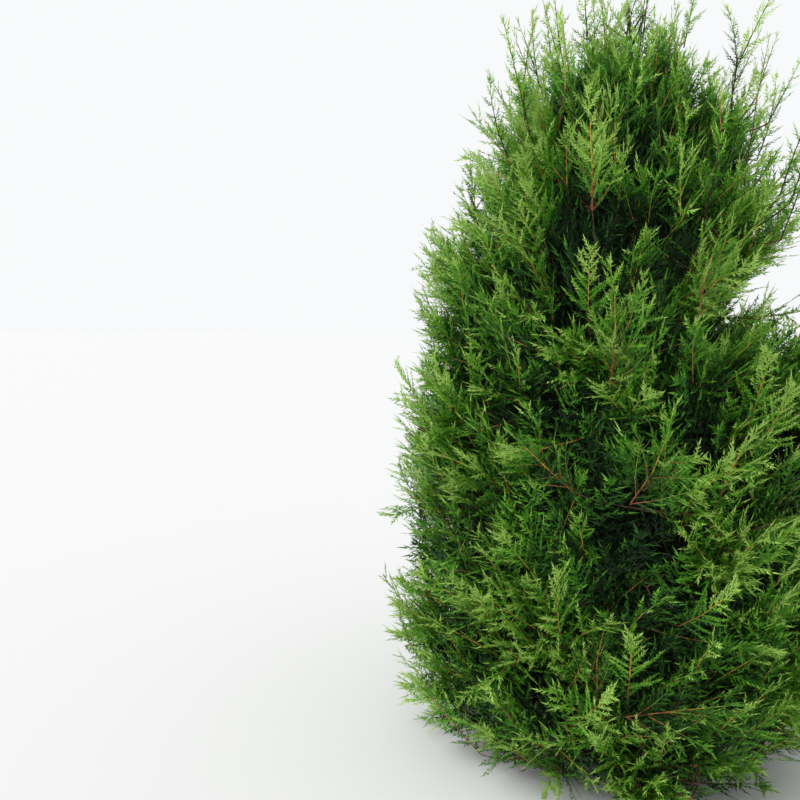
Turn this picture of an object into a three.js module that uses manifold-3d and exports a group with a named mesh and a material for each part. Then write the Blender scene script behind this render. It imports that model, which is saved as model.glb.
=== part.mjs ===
// A bushy hedging cypress, foliaged to the ground: one leaning trunk, boughs that climb from it all round,
// and a mass of flat, toothed plumes of foliage at the end of each bough and on the trunk's own tip.
// Millimetres, +Z up. The origin is the centre of the flat cut under the trunk, level with the ground.
import * as THREE from "three";
import { mergeVertices } from "three/addons/utils/BufferGeometryUtils.js";
import Module from "manifold-3d";

const wasm = await Module();
wasm.setup();

// Driving dimensions
const treeHeight = 2700;
const crownRadius = 850; // at the belly, where the crown is widest
const bellyHeight = 0.3 * treeHeight;
const trunkHeight = 0.83 * treeHeight;
const trunkRadius = 46; // above the root flare
const boughCount = 21;
const plumeLength = 420;
const plumeWidth = 290;
const clearance = 0.3; // between solids that meet

// Crown: a dome on a slightly tucked skirt, with one notch where the sky shows between two boughs
const domePower = 2.2;
const skirtTuck = 0.12;
const crownWobble = 0.05;
const wobbleTurns = 3; // bulges round the crown
const wobbleRise = 310; // height over which they drift round it
const driftRise = 450;
const notchHeight = 0.61 * treeHeight;
const notchDepth = 0.3;
const notchRise = 130; // half its height
const notchSpread = 0.55; // half its width, radians round the trunk
const groundGap = 12; // lowest foliage above the ground

// Trunk
const trunkTipRadius = 9;
const flareRadius = 27; // added at the ground
const flareHeight = 95; // over which it fades
const flareLobes = 5;
const flareLobeShare = 0.3;
const trunkLean = 0.008;
const trunkSway = 11;
const trunkSides = 15;
const trunkSteps = 10;

// Boughs
const goldenAngle = Math.PI * (3 - Math.sqrt(5));
const firstAzimuth = -1.45;
const lowestTip = 130;
const highestTip = 0.965 * treeHeight;
const skirtCrowding = 1.2; // over 1, the tips lie closer together near the ground
const skirtPitch = -4; // degrees above level, at the lowest bough
const domePitch = 58; // and at the highest
const lowestRoot = 0.05; // of the trunk's height
const highestRoot = 0.94;
const boughShare = 0.42; // of the way from the trunk to the crown's edge
const boughSag = 14;
const boughRootRadius = 15;
const boughTipRadius = 7;
const boughSides = 6;
const boughSteps = 2;

// Foliage
const lowMiddle = 0.64; // where the lowest mass has its middle, of the way to the crown's edge
const highMiddle = 0.68; // and where the highest has it
const leaderMiddle = 0.32; // and the one on the trunk's tip
const stemShare = 0.78; // where the stem ends in its last plume
const twigsPerMass = 11;
const narrowTilt = 14; // degrees from the stem, at the foremost twig
const wideTilt = 105; // and at the rearmost
const rearmostTwig = 0.3; // of the way along the stem
const twigRadius = 6;
const shortestTwig = 60;
const upwardPull = 0.7; // on plumes at the top, fading towards the ground
const coreFill = 0.9; // of the way to the walls of the mass's room, at its peaks
const coreValleys = 0.6; // of the reach of its peaks
const coreDepth = 135; // beneath the crown's surface, up and out
const coreRadius = 480; // at most
const coreLeast = 60;
const coreHollow = 80; // from the trunk's middle to the cores
const hollowTop = 0.78 * treeHeight; // above it the cores close round the trunk
const coreGroundGap = 50;
const plumeThickness = 9;
const plumeBend = 0.12; // rise of the tip over the length
const plumeStart = 0.95; // of its length, from the crown's surface in to its root
const plumeSunk = 40; // how deep its root lies in its twig
const plumeFits = [1, 0.86, 0.74]; // sizes tried in turn
const plumeRolls = [0, 0.5, -0.5, 1, -1, 1.5]; // turns of its face tried in turn
const plumeShows = 0.2; // least share of it outside the core
const shortestPlume = 130;
const probeStep = 15; // of the rays that measure how far a room reaches

const up = new THREE.Vector3(0, 0, 1);
const radians = THREE.MathUtils.degToRad;
const lerp = THREE.MathUtils.lerp;
const clamp = THREE.MathUtils.clamp;

// A repeatable number from 0 to 1 for any three whole numbers.
function chance(a, b = 0, c = 0) {
  const wave = Math.sin(a * 127.1 + b * 311.7 + c * 74.7) * 43758.5453;
  return wave - Math.floor(wave);
}

const around = (azimuth) => new THREE.Vector3(Math.cos(azimuth), Math.sin(azimuth), 0);

// How far the crown reaches from the trunk's middle, at a height and in a direction.
function crownReach(height, azimuth) {
  const climb = (height - bellyHeight) / (treeHeight - bellyHeight);
  const round =
    climb > 0
      ? Math.sqrt(Math.max(0, 1 - climb ** domePower))
      : 1 - skirtTuck * (1 - height / bellyHeight) ** 2;
  const wave = Math.sin(wobbleTurns * azimuth + height / wobbleRise);
  const bulge = wave * Math.cos(azimuth - height / driftRise);
  const off = Math.atan2(Math.sin(azimuth), Math.cos(azimuth)) / notchSpread;
  const notch = notchDepth * Math.exp(-(off ** 2) - ((height - notchHeight) / notchRise) ** 2);
  return crownRadius * round * (1 + crownWobble * bulge) * (1 - notch);
}

// Whether a point lies at least depth beneath the crown's surface.
function insideCrown(point, depth = 0) {
  const out = Math.hypot(point.x, point.y);
  const height = point.z + depth;
  if (depth > 0 && out < coreHollow && point.z < hollowTop) return false;
  if (point.z < (depth > 0 ? coreGroundGap : groundGap) || height > treeHeight) return false;
  return out + depth <= crownReach(height, Math.atan2(point.y, point.x));
}

// Solids to and from three.js geometry
function solidFrom(geometry) {
  geometry.deleteAttribute("normal");
  geometry.deleteAttribute("uv");
  const merged = mergeVertices(geometry, 1e-3);
  const mesh = new wasm.Mesh({
    numProp: 3,
    vertProperties: merged.attributes.position.array,
    triVerts: new Uint32Array(merged.index.array),
  });
  return new wasm.Manifold(mesh);
}

function geometryFrom(solid) {
  const mesh = solid.getMesh();
  const geometry = new THREE.BufferGeometry();
  geometry.setAttribute("position", new THREE.BufferAttribute(mesh.vertProperties, mesh.numProp));
  geometry.setIndex(new THREE.BufferAttribute(mesh.triVerts, 1));
  return geometry;
}

// Joins the pieces, fills what the joining seals, and drops any loose scrap.
function fuse(pieces) {
  const sliver = 0.05;
  const joined = wasm.Manifold.union(pieces).simplify(sliver);
  return joined.decompose().reduce((best, piece) => (piece.volume() > best.volume() ? piece : best));
}

const cornersOf = (geometry) => {
  const place = geometry.attributes.position;
  return Array.from({ length: place.count }, (_, i) => new THREE.Vector3().fromBufferAttribute(place, i));
};

// A round limb along a curve, with flat ends: a lathed tube bent on to the curve.
function limbGeometry(curve, radiusAt, sides, steps, levelRings = false) {
  const profile = [new THREE.Vector2(0, 0)];
  for (let i = 0; i <= steps; i++) profile.push(new THREE.Vector2(1, i / steps));
  profile.push(new THREE.Vector2(0, 1));
  const geometry = new THREE.LatheGeometry(profile, sides);
  const frames = curve.computeFrenetFrames(steps, false);
  cornersOf(geometry).forEach((corner, i) => {
    const ring = Math.round(corner.y * steps);
    const along = ring / steps;
    const radius = radiusAt(along, Math.atan2(corner.z, corner.x));
    const acrossX = levelRings ? new THREE.Vector3(0, 1, 0) : frames.binormals[ring];
    const acrossZ = levelRings ? new THREE.Vector3(1, 0, 0) : frames.normals[ring];
    const moved = curve.getPoint(along);
    moved.addScaledVector(acrossX, corner.x * radius).addScaledVector(acrossZ, corner.z * radius);
    geometry.attributes.position.setXYZ(i, moved.x, moved.y, moved.z);
  });
  return geometry;
}

// The stretch of a curve between two shares of it, as a curve of its own.
class Stretch extends THREE.Curve {
  constructor(whole, from, to) {
    super();
    Object.assign(this, { whole, from, to });
  }
  getPoint(along, target = new THREE.Vector3()) {
    return this.whole.getPoint(lerp(this.from, this.to, along), target);
  }
}

// Trunk
class TrunkLine extends THREE.Curve {
  getPoint(along, target = new THREE.Vector3()) {
    const turn = 2 * Math.PI * along;
    const x = trunkLean * along * trunkHeight + trunkSway * Math.sin(turn);
    const y = 0.8 * trunkSway * Math.sin(0.7 * turn);
    return target.set(x, y, along * trunkHeight);
  }
}
const trunkLine = new TrunkLine();

function trunkRadiusAt(along, angle) {
  const fade = Math.exp((-along * trunkHeight) / flareHeight);
  const flare = flareRadius * (1 + flareLobeShare * Math.cos(flareLobes * angle));
  return lerp(trunkRadius, trunkTipRadius, along) + flare * fade;
}

function makeTrunk(growth = 0) {
  const line = new Stretch(trunkLine, 0, 1 + growth / trunkHeight);
  const radiusAt = (along, angle) => trunkRadiusAt(along, angle) + growth;
  return solidFrom(limbGeometry(line, radiusAt, trunkSides, trunkSteps, true));
}

// A limb is one bough and the stem of its foliage, on one curve from the trunk to the crown's edge.
function limbLine(index) {
  const share = (index + 0.5) / boughCount;
  const azimuth = firstAzimuth + index * goldenAngle;
  const tipHeight = lerp(lowestTip, highestTip, share ** skirtCrowding);
  const tip = around(azimuth).multiplyScalar(crownReach(tipHeight, azimuth)).setZ(tipHeight);
  const pitch = radians(lerp(skirtPitch, domePitch, (tipHeight / highestTip) ** 1.3));
  const rise = Math.hypot(tip.x, tip.y) * Math.tan(pitch);
  const root = trunkLine.getPoint(clamp((tipHeight - rise) / trunkHeight, lowestRoot, highestRoot));
  const knee = root.clone().lerp(tip, 0.5);
  knee.z -= 0.1 * Math.abs(rise) + boughSag;
  return new THREE.QuadraticBezierCurve3(root, knee, tip);
}

// The leader goes on from the trunk's tip to the top of the crown.
function makeLeaderLine() {
  const foot = trunkLine.getPoint(1);
  const knee = foot.clone().setZ(lerp(trunkHeight, treeHeight, 0.4));
  return new THREE.QuadraticBezierCurve3(foot, knee, new THREE.Vector3(-14, 10, treeHeight));
}

// The bough is the limb's bare inner stretch, cut clear of the trunk.
function makeBough(line, trunkGrown, growth = 0) {
  const bough = new Stretch(line, 0, boughShare + growth / line.getLength());
  const thin = Math.min(1, line.getLength() / crownRadius);
  const radiusAt = (along) => lerp(boughRootRadius * thin, boughTipRadius, along) + growth;
  return solidFrom(limbGeometry(bough, radiusAt, boughSides, boughSteps)).subtract(trunkGrown);
}

// Each mass keeps to the room that is nearer to its own middle than to any other's.
function makeRoom(middle, middles) {
  const walls = middles
    .filter((other) => other !== middle)
    .map((other) => {
      const normal = other.clone().sub(middle).normalize();
      const halfway = middle.clone().lerp(other, 0.5);
      return new THREE.Plane().setFromNormalAndCoplanarPoint(normal, halfway);
    });
  const gap = (point) => Math.min(...walls.map((wall) => -wall.distanceToPoint(point)));
  return { middle, gap };
}

// How far a ray runs before it leaves the room or comes within depth of the crown's surface.
function reachOf(point, direction, room, depth, most) {
  const probe = point.clone();
  let reach = 0;
  while (reach < most && room.gap(probe) > clearance && insideCrown(probe, depth)) {
    reach += probeStep;
    probe.addScaledVector(direction, probeStep);
  }
  return reach;
}

// A toothed blade on a short stalk, in its own outline along +X, its tip bent up towards +Z.
function plumeGeometry(length, width) {
  const middle = 0.52; // where it is thickest
  const offset = 0.05; // of the teeth on one side from those on the other
  const side = [
    [0.2, 0.08],
    [0.46, 1],
    [0.55, 0.36],
    [0.79, 0.72],
    [0.77, 0.24],
  ];
  const otherSide = side.map(([x, y]) => [x + offset, -y]).reverse();
  const ring = [[0, 0], ...side, [1, 0], ...otherSide];
  const rise = (x) => plumeBend * length * x * x;
  const corners = [];
  for (const [x, y] of ring) corners.push(x * length, (y * width) / 2, rise(x));
  for (const face of [0.5, -0.5]) corners.push(middle * length, 0, rise(middle) + face * plumeThickness);
  const faces = [];
  ring.forEach((_, i) => {
    const next = (i + 1) % ring.length;
    faces.push(next, i, ring.length, i, next, ring.length + 1);
  });
  const geometry = new THREE.BufferGeometry();
  geometry.setAttribute("position", new THREE.Float32BufferAttribute(corners, 3));
  geometry.setIndex(faces);
  return geometry;
}

// Stands a piece made along +X on a point, along a direction, with its face towards facing.
function stand(geometry, point, direction, facing) {
  const level = new THREE.Vector3().crossVectors(facing, direction);
  if (level.length() < 0.05) level.set(0, 1, 0);
  level.normalize();
  const face = new THREE.Vector3().crossVectors(direction, level);
  return geometry.applyMatrix4(new THREE.Matrix4().makeBasis(direction, level, face).setPosition(point));
}

// A direction beside another: tilted from it and turned round it.
function beside(direction, tilt, turn) {
  const across = new THREE.Vector3().crossVectors(direction, up);
  if (across.length() < 0.05) across.set(1, 0, 0);
  return direction.clone().applyAxisAngle(across.normalize(), tilt).applyAxisAngle(direction, turn);
}

// A piece that would leave its room or the crown, or touch a limb, doesn't fit.
function fits(geometry, solid, mass) {
  const corners = cornersOf(geometry);
  const inside = corners.every((corner) => mass.room.gap(corner) > clearance && insideCrown(corner));
  return inside && mass.limbs.every((limb) => solid.minGap(limb, 2) > 1);
}

// Adds a plume to the mass, at the first size and turn that fits and crosses no other outside the core.
function growPlume(mass, point, direction, facing) {
  const root = point.clone().addScaledVector(direction, -plumeSunk);
  const reach = Math.min(plumeLength, plumeSunk + reachOf(point, direction, mass.room, 0, plumeLength));
  for (const size of plumeFits) {
    const length = reach * size;
    const width = (length / plumeLength) * plumeWidth;
    if (length < shortestPlume) break;
    for (const roll of plumeRolls) {
      const face = facing.clone().applyAxisAngle(direction, roll);
      const geometry = stand(plumeGeometry(length, width), root, direction, face);
      const solid = solidFrom(geometry.clone());
      const shown = solid.subtract(mass.core);
      const buried = shown.volume() < plumeShows * solid.volume();
      const crosses = mass.shown.some((other) => shown.minGap(other, 2) < 1);
      if (buried || crosses || !fits(geometry, solid, mass)) continue;
      mass.shown.push(shown);
      mass.pieces.push(solid);
      return true;
    }
  }
  return false;
}

// Adds a twig that runs out from the stem through the core and ends in one plume.
function growTwig(mass, twig, line, from) {
  const share = (twig + 0.5) / twigsPerMass;
  const start = line.getPoint(lerp(stemShare - 0.02, lerp(from, stemShare, rearmostTwig), share));
  const turn = twig * goldenAngle + 2 * Math.PI * chance(mass.index, 3);
  const tilt = Math.acos(lerp(Math.cos(radians(narrowTilt)), Math.cos(radians(wideTilt)), share));
  const out = beside(line.getTangent(stemShare), tilt, turn);
  const reach = reachOf(start, out, mass.room, 0, 2 * plumeLength);
  const end = start.clone().addScaledVector(out, Math.max(shortestTwig, reach - plumeStart * plumeLength));
  const geometry = limbGeometry(new THREE.LineCurve3(start, end), () => twigRadius, 3, 1);
  const solid = solidFrom(geometry.clone());
  if (!fits(geometry, solid, mass)) return;
  const leaning = out.clone().addScaledVector(up, (upwardPull * end.z) / treeHeight).normalize();
  if (growPlume(mass, end, leaning, out.clone().add(up))) mass.pieces.push(solid);
}

// The dense inside of a mass, all peaks and valleys, cut clear of the limbs.
function makeCore(index, room) {
  const ball = new THREE.IcosahedronGeometry(1, 1);
  ball.deleteAttribute("normal");
  ball.deleteAttribute("uv");
  const core = mergeVertices(ball, 1e-3);
  cornersOf(core).forEach((heading, i) => {
    const peak = coreFill * reachOf(room.middle, heading, room, coreDepth, coreRadius);
    const reach = Math.max(coreLeast, peak * lerp(coreValleys, 1, chance(index, 6, i)));
    const moved = room.middle.clone().addScaledVector(heading, reach);
    core.attributes.position.setXYZ(i, moved.x, moved.y, moved.z);
  });
  return limbsGrown.reduce((left, limb) => left.subtract(limb), solidFrom(core));
}

// A mass is one solid: its stem, its core, and the twigs and plumes that stand out of them.
function growMass(index, line, from, rootRadius, room) {
  const stemLine = new Stretch(line, from + clearance / line.getLength(), stemShare);
  const stemRadiusAt = (along) => lerp(rootRadius, twigRadius, along);
  const stem = solidFrom(limbGeometry(stemLine, stemRadiusAt, boughSides, boughSteps));
  const core = makeCore(index, room);
  const mass = { index, room, limbs, core, shown: [], pieces: [stem, core] };
  growPlume(mass, line.getPoint(stemShare), line.getTangent(stemShare), up);
  for (let twig = 0; twig < twigsPerMass; twig++) growTwig(mass, twig, line, from);
  return fuse(mass.pieces);
}

// Finishes
const bark = new THREE.MeshStandardMaterial({ color: 0x6b4a35, roughness: 0.95, metalness: 0 });
const twigBark = new THREE.MeshStandardMaterial({ color: 0x8a4f2c, roughness: 0.9, metalness: 0 });
const foliage = new THREE.MeshStandardMaterial({ color: 0x4f8420, roughness: 0.75, metalness: 0 });
for (const finish of [bark, twigBark, foliage]) finish.flatShading = true;

// Limbs
const trunk = makeTrunk();
const trunkGrown = makeTrunk(clearance);
const lines = Array.from({ length: boughCount }, (_, i) => limbLine(i));
const leaderLine = makeLeaderLine();
const boughs = lines.map((line) => makeBough(line, trunkGrown));
const limbs = [trunk, ...boughs];
const limbsGrown = [trunkGrown, ...lines.map((line) => makeBough(line, trunkGrown, clearance))];

// Middles of the masses, the leader's last
const middles = lines.map((line, i) => line.getPoint(lerp(lowMiddle, highMiddle, i / boughCount)));
middles.push(leaderLine.getPoint(leaderMiddle));
const leaderIndex = boughCount;

// The whole tree
const tree = new THREE.Group();
function addNode(name, solid, finish) {
  const mesh = new THREE.Mesh(geometryFrom(solid), finish);
  mesh.name = name;
  tree.add(mesh);
}
const numbered = (word, index) => word + "_" + String(index + 1).padStart(2, "0");

addNode("trunk", trunk, bark);
boughs.forEach((bough, i) => addNode(numbered("bough", i), bough, twigBark));
lines.forEach((line, i) => {
  const room = makeRoom(middles[i], middles);
  addNode(numbered("foliage", i), growMass(i, line, boughShare, boughTipRadius, room), foliage);
});
const leaderRoom = makeRoom(middles[leaderIndex], middles);
addNode("foliage_leader", growMass(leaderIndex, leaderLine, 0, trunkTipRadius, leaderRoom), foliage);

export default tree;
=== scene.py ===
import math

import bpy
import numpy as np
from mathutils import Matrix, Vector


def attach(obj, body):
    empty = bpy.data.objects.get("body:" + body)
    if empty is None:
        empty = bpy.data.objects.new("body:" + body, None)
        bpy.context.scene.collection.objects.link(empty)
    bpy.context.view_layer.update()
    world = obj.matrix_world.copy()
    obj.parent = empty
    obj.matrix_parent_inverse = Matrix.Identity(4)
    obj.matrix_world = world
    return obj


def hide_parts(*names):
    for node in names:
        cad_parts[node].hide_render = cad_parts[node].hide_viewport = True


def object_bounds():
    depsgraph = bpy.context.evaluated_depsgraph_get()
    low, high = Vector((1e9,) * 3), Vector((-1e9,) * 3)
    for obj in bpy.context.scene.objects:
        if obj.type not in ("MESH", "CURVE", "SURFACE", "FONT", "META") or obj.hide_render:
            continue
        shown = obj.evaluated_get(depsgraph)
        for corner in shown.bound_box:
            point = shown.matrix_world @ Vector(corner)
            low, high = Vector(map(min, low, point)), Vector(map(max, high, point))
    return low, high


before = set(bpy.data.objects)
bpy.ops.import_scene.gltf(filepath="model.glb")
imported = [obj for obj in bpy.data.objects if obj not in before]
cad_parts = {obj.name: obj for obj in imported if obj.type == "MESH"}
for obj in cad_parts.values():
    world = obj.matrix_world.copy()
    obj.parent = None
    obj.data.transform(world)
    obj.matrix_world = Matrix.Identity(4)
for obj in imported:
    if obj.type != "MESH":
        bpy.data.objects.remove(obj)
cadBox = [list(corner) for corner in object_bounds()]
bpy.ops.object.select_all(action="DESELECT")
print("frame loaded with", len(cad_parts), "solids")

# Sizes are in metres and angles in degrees, unless a note says otherwise.
# Most functions take rows of points, headings or numbers, and work on all of them at once.
goldenAngle = math.pi * (3 - math.sqrt(5))
up = np.array([0.0, 0.0, 1.0])


# A number from 0 to 1 that looks random and is the same every run; the last one given tells its uses apart
def chance(a, b=0, c=0):
    wave = np.sin(a * 127.1 + b * 311.7 + c * 74.7) * 43758.5453
    return wave - np.floor(wave)


def unit(rows):
    return rows / np.maximum(np.linalg.norm(rows, axis=-1, keepdims=True), 1e-9)


def mix(first, second, share):
    return first + (second - first) * share


def drawn(span, key, use):
    return mix(*span, chance(key, use))


# How far values are on the way from low to high, from 0 to 1
def between(low, high, values):
    return np.clip((values - low) / (high - low), 0, 1)


def around(azimuth, reach, height):
    return np.stack(np.broadcast_arrays(reach * np.cos(azimuth), reach * np.sin(azimuth), height), -1)


# The crown, trunk, limbs and main twigs grow by the rule that made the solids
crown = {
    "height": 2.7,
    "top": (-0.014, 0.01),  # how far its tip stands from the origin, sideways
    "radius": 0.85,  # at the belly
    "belly": 0.81,  # height of the widest part
    "domePower": 2.2,
    "skirtTuck": 0.12,  # how much narrower it is at its foot
    "wobble": 0.05,
    "wobbleTurns": 3,
    "wobbleRise": 0.31,
    "driftRise": 0.45,
    "notch": {"azimuth": 0, "spread": 0.55, "height": 1.647, "rise": 0.13, "depth": 0.3},  # at the gap
    "footGap": 0.012,
}


# How deep a dent in the crown is at each azimuth and height; its spread is in radians
def dentAt(dent, azimuth, height):
    off = azimuth - math.radians(dent["azimuth"])
    off = np.arctan2(np.sin(off), np.cos(off)) / dent["spread"]
    rise = (height - dent["height"]) / dent["rise"]
    return dent["depth"] * np.exp(-(off**2) - rise**2)


def crownReach(height, azimuth):
    climb = between(crown["belly"], crown["height"], height)
    dome = np.sqrt(1 - climb ** crown["domePower"])
    skirt = 1 - crown["skirtTuck"] * (1 - height / crown["belly"]) ** 2
    wave = np.sin(crown["wobbleTurns"] * azimuth + height / crown["wobbleRise"])
    bulge = wave * np.cos(azimuth - height / crown["driftRise"])
    outline = np.where(height > crown["belly"], dome, skirt) * (1 + crown["wobble"] * bulge)
    return crown["radius"] * outline * (1 - dentAt(crown["notch"], azimuth, height))


# How deep points lie beneath the crown's surface, sideways or upwards, whichever is less
def crownDepth(points):
    x, y, z = np.moveaxis(points, -1, 0)
    out = np.hypot(x, y)
    sideways = crownReach(z, np.arctan2(y, x)) - out
    rim = np.clip(out / crown["radius"], 0, 1)
    domeTop = mix(crown["belly"], crown["height"], (1 - rim**2) ** (1 / crown["domePower"]))
    return np.minimum(sideways, domeTop - z)


# The way out of the crown at each point
def outwardAt(points):
    x, y, z = np.moveaxis(points, -1, 0)
    climb = between(crown["belly"], crown["height"], z)
    slope = crown["domePower"] * climb ** (crown["domePower"] - 1)
    rise = slope / (crown["height"] - crown["belly"])
    spread = 2 / crown["radius"] ** 2
    return unit(np.stack([x * spread, y * spread, rise], -1))


# The gap in the crown's right side climbs outwards, and widens as it does
gap = {
    "azimuth": -10,
    "from": 0.31,  # how far from the trunk it starts
    "height": 1.5,
    "climb": 0.28,
    "narrow": 0.02,  # half its height where it starts
    "widening": 0.27,
    "clearPlaces": (0.15, 0.5, 0.95),  # along each plume, that have to stay out of it
}


# How far points are above or below that gap, less than 0 within it
def gapAway(points):
    out = points @ around(math.radians(gap["azimuth"]), 1, 0)
    off = np.abs(points[..., 2] - gap["height"] - gap["climb"] * out)
    half = gap["narrow"] + gap["widening"] * np.maximum(out - gap["from"], 0)
    return off - half + np.maximum(gap["from"] - out, 0)


def depthOf(points):
    return np.minimum(crownDepth(points), gapAway(points))


trunk = {
    "height": 2.241,
    "radius": 0.046,
    "tipRadius": 0.009,
    "flare": 0.027,
    "flareHeight": 0.095,
    "flareLobes": 5,
    "flareLobeShare": 0.3,
    "lean": 0.008,
    "sway": 0.011,
    "sideSway": 0.8,  # of the sway
    "sideTurns": 0.7,
    "leaderKnee": 0.4,  # of the leader's height, where it turns to the crown's tip
}


def trunkPoint(share):
    turn = 2 * math.pi * share
    x = trunk["lean"] * share * trunk["height"] + trunk["sway"] * np.sin(turn)
    y = trunk["sideSway"] * trunk["sway"] * np.sin(trunk["sideTurns"] * turn)
    return np.stack([x, y, share * trunk["height"]], -1)


def trunkRadius(share, angle):
    fade = np.exp(-share * trunk["height"] / trunk["flareHeight"])
    flare = trunk["flare"] * (1 + trunk["flareLobeShare"] * np.cos(trunk["flareLobes"] * angle))
    return mix(trunk["radius"], trunk["tipRadius"], share) + flare * fade


def makeLeader():
    foot = trunkPoint(np.float64(1))
    knee = foot.copy()
    knee[2] = mix(trunk["height"], crown["height"], trunk["leaderKnee"])
    return np.stack([foot, knee, [*crown["top"], crown["height"]]])


boughs = {
    "count": 21,
    "firstAzimuth": -1.45,  # radians
    "lowestTip": 0.13,
    "highestTip": 2.6055,
    "crowding": 1.2,
    "pitches": (-4, 58),  # in the skirt and at the top
    "steepening": 1.3,
    "roots": (0.05, 0.94),  # shares of the trunk's height: the lowest and the highest
    "share": 0.42,  # of the limb; the rest is the stem of its foliage
    "sag": 0.014,
    "sagOfRise": 0.1,
    "rootRadius": 0.015,
    "tipRadius": 0.007,
}


# Each limb is a curve of three points: its root, its knee and its tip. The last is the leader.
def makeLimbLines():
    index = np.arange(boughs["count"])
    azimuth = boughs["firstAzimuth"] + index * goldenAngle
    share = ((index + 0.5) / boughs["count"]) ** boughs["crowding"]
    tipHeight = mix(boughs["lowestTip"], boughs["highestTip"], share)
    reach = crownReach(tipHeight, azimuth)
    tip = around(azimuth, reach, tipHeight)
    steepness = (tipHeight / boughs["highestTip"]) ** boughs["steepening"]
    pitch = np.radians(mix(*boughs["pitches"], steepness))
    rise = reach * np.tan(pitch)
    rootShare = (tipHeight - rise) / trunk["height"]
    root = trunkPoint(np.clip(rootShare, *boughs["roots"]))
    knee = (root + tip) / 2
    knee[:, 2] -= boughs["sagOfRise"] * np.abs(rise) + boughs["sag"]
    return np.concatenate([np.stack([root, knee, tip], 1), makeLeader()[None]])


limbLines = makeLimbLines()
massCount = len(limbLines)
isLeader = np.arange(massCount) == massCount - 1
bareShare = np.where(isLeader, 0, boughs["share"])


# Points along curves, each given by its root, its knee and its tip
def alongCurve(curve, share):
    share = np.asarray(share, float)[..., None]
    root, knee, tip = np.moveaxis(curve, -2, 0)
    return (1 - share) ** 2 * root + 2 * (1 - share) * share * knee + share**2 * tip


def headingOf(curve, share):
    share = np.asarray(share, float)[..., None]
    root, knee, tip = np.moveaxis(curve, -2, 0)
    return unit((1 - share) * (knee - root) + share * (tip - knee))


# Directions beside others: tilted from them and turned round them, in radians
def beside(direction, tilt, turn):
    across = unit(np.cross(direction, up))
    first = np.cross(across, direction)
    second = np.cross(direction, first)
    tilt, turn = np.asarray(tilt)[..., None], np.asarray(turn)[..., None]
    sideways = first * np.cos(turn) + second * np.sin(turn)
    return direction * np.cos(tilt) + sideways * np.sin(tilt)


# Shader nodes, written as expressions
class Wire:
    def __init__(self, tree, socket):
        self.tree = tree
        self.socket = socket

    def maths(self, operation, first, second):
        node = self.tree.nodes.new("ShaderNodeMath")
        node.operation = operation
        for socket, value in zip(node.inputs, (first, second)):
            plug(self.tree, socket, value)
        return Wire(self.tree, node.outputs[0])

    def __add__(self, other):
        return self.maths("ADD", self, other)

    def __sub__(self, other):
        return self.maths("SUBTRACT", self, other)

    def __rsub__(self, other):
        return self.maths("SUBTRACT", other, self)

    def __mul__(self, other):
        return self.maths("MULTIPLY", self, other)

    __radd__ = __add__
    __rmul__ = __mul__


def plug(tree, socket, value):
    if isinstance(value, Wire):
        tree.links.new(value.socket, socket)
    else:
        socket.default_value = value


class Finish:
    def __init__(self, name):
        self.material = bpy.data.materials.new(name)
        self.material.use_nodes = True
        self.tree = self.material.node_tree
        self.tree.nodes.clear()

    def node(self, kind, values, output=0, stops=None, **settings):
        node = self.tree.nodes.new("ShaderNode" + kind)
        for name, value in settings.items():
            setattr(node, name, value)
        if stops:
            ramp = node.color_ramp
            while len(ramp.elements) < len(stops):
                ramp.elements.new(0.5)
            for element, (position, colour) in zip(ramp.elements, stops):
                element.position = position
                element.color = colour
        for name, value in values.items():
            plug(self.tree, node.inputs[name], value)
        return Wire(self.tree, node.outputs[output])

    def surface(self, **values):
        named = {name.replace("_", " "): value for name, value in values.items()}
        shader = self.node("BsdfPrincipled", named)
        output = self.tree.nodes.new("ShaderNodeOutputMaterial")
        self.tree.links.new(shader.socket, output.inputs["Surface"])
        return self.material


# A colour as a paint chart gives it, made linear
def tint(red, green, blue):
    return (*[(part / 255) ** 2.2 for part in (red, green, blue)], 1)


# Wood is smoother and stands out where its pattern is lighter
def woodSurface(finish, colour, relief, look):
    values = {"Height": relief, "Strength": look["bumpStrength"], "Distance": look["bump"]}
    roughness = look["roughness"] - look["smoother"] * relief
    return finish.surface(Base_Color=colour, Roughness=roughness, Normal=finish.node("Bump", values))


barkLook = {
    "stops": (0.33, 0.47, 0.56, 0.7),  # of its four colours, from the cracks to the ridges
    "drawnOut": 9,  # how much longer the fibres are than wide
    "patchSize": 8,  # how much coarser the patches are than the fibres
    "fibreShare": 0.7,  # of the colour; patches make the rest
    "roughness": 1,
    "smoother": 0.25,  # on the ridges
    "bump": 0.003,
    "bumpStrength": 0.6,
}


# Fibrous bark, its grain along the limb
def barkFinish(name, fineness, *colours):
    finish = Finish(name)
    grain = finish.node("Attribute", {}, output="Vector", attribute_name="grain")
    size = (fineness, fineness, fineness / barkLook["drawnOut"])
    fibreAt = finish.node("VectorMath", {0: grain, 1: size}, operation="MULTIPLY")
    fibre = finish.node("TexNoise", {"Vector": fibreAt, "Scale": 1.0, "Detail": 6.0, "Roughness": 0.62})
    coarseness = fineness / barkLook["patchSize"]
    patch = finish.node("TexNoise", {"Vector": grain, "Scale": coarseness, "Detail": 2.0})
    blend = fibre * barkLook["fibreShare"] + patch * (1 - barkLook["fibreShare"])
    colour = finish.node("ValToRGB", {"Fac": blend}, stops=list(zip(barkLook["stops"], colours)))
    return woodSurface(finish, colour, fibre, barkLook)


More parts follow.
